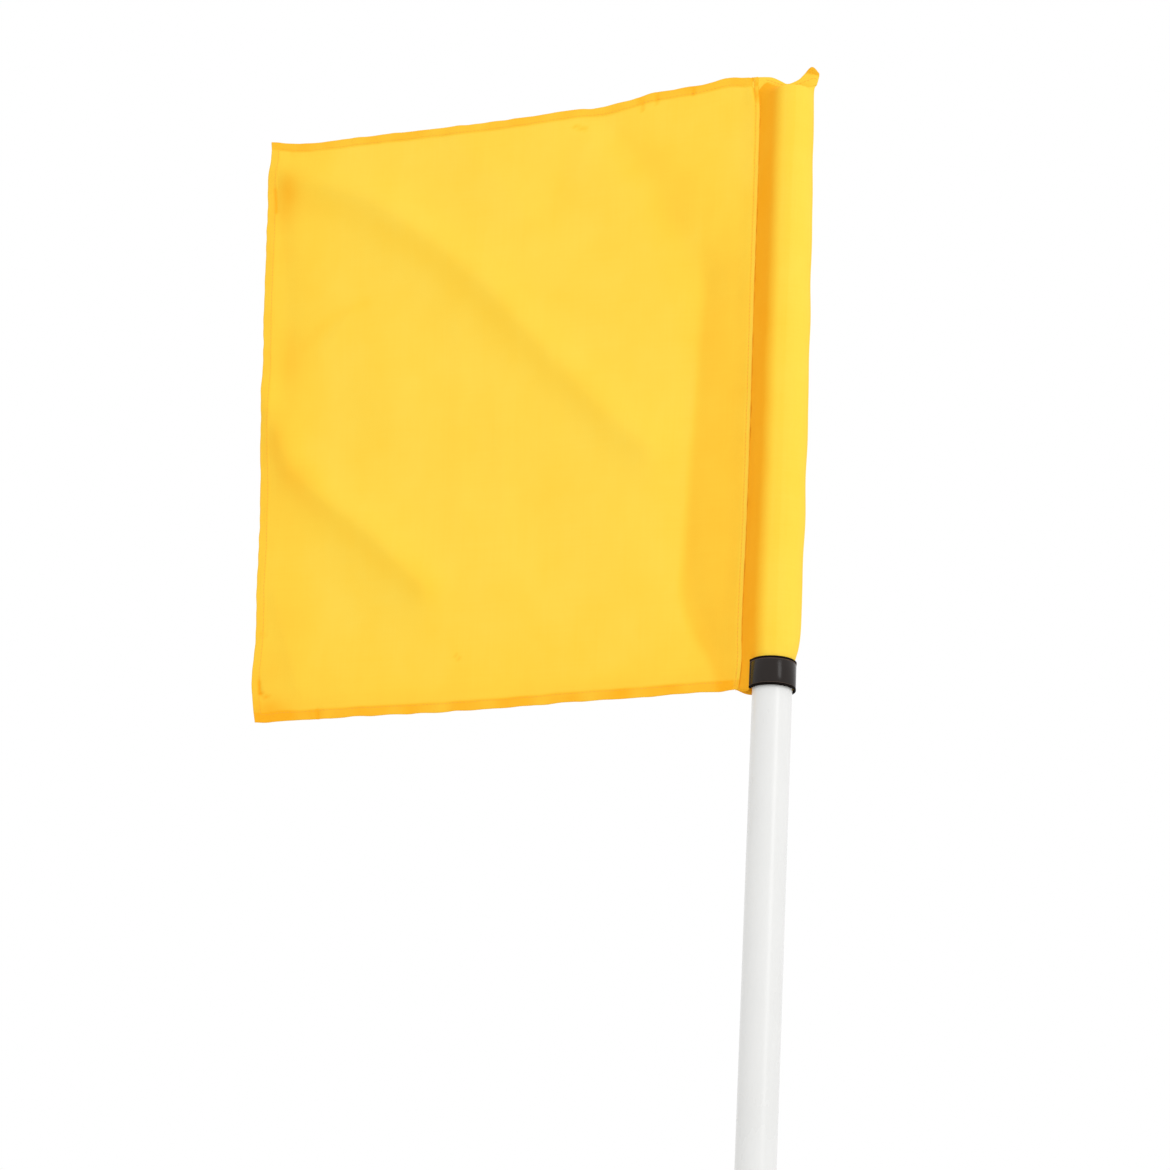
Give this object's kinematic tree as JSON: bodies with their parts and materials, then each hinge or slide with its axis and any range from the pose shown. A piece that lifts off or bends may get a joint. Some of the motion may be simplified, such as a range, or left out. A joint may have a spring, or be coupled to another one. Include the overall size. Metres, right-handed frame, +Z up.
{
  "type": "corner flag",
  "caption": "Corner flag for a playing field: sleeved cloth flag clipped on a white tubular pole, on a coil spring and a ground spike.",
  "frame": {"origin": "where the pole's axis meets the ground, level with the underside of the foot disc", "axes": "+Z up the pole, -X from the pole towards the free edge of the flag, Y across the flag"},
  "size_m": [0.4992, 0.064, 1.8568],
  "materials": {
    "galvanised_steel": "satin",
    "spring_steel": "satin",
    "white_plastic": "gloss",
    "black_plastic": "satin",
    "flag_cloth": "matte"
  },
  "bodies": {
    "ground_spike": {"spike_rod": "galvanised_steel", "foot_disc": "galvanised_steel", "foot_washer": "galvanised_steel", "foot_nut": "galvanised_steel", "lower_spring_stud": "galvanised_steel", "lower_cross_pin": "galvanised_steel"},
    "spring": {"coil_spring": "spring_steel"},
    "pole": {"upper_spring_stud": "galvanised_steel", "upper_cross_pin": "galvanised_steel", "pole_plug": "black_plastic", "plug_washer": "galvanised_steel", "plug_bolt": "galvanised_steel", "plug_screw_1": "galvanised_steel", "plug_screw_2": "galvanised_steel", "plug_screw_3": "galvanised_steel", "pole_tube": "white_plastic", "pole_top_cap": "white_plastic"},
    "clip": {"retaining_clip": "black_plastic"},
    "sleeve": {"flag_sleeve": "flag_cloth"},
    "panel": {"flag_panel": "flag_cloth"}
  },
  "joints": [
    {"name": "spring_bend_sideways", "type": "hinge", "parent": "ground_spike", "child": "spring", "pos_m": [0, 0, 0.04391], "axis": [0, 1, 0], "range_deg": [-85, 85], "stiffness_Nm_per_rad": 20, "deforming": ["coil_spring"]},
    {"name": "spring_bend_forwards", "type": "hinge", "parent": "spring", "child": "pole", "pos_m": [0, 0, 0.07793], "axis": [1, 0, 0], "range_deg": [-85, 85], "stiffness_Nm_per_rad": 20, "deforming": ["coil_spring"]},
    {"name": "flag_turn", "type": "hinge", "parent": "pole", "child": "clip", "pos_m": [0, 0, 1.1202], "axis": [0, 0, 1], "continuous": true},
    {"name": "flag_lift", "type": "slide", "parent": "clip", "child": "sleeve", "axis": [0, 0, 1], "range_m": [0, 0.5]},
    {"name": "panel_swing", "type": "hinge", "parent": "sleeve", "child": "panel", "pos_m": [-0.029, 0, 1.3662], "axis": [0, 0, 1], "range_deg": [-100, 100]}
  ]
}
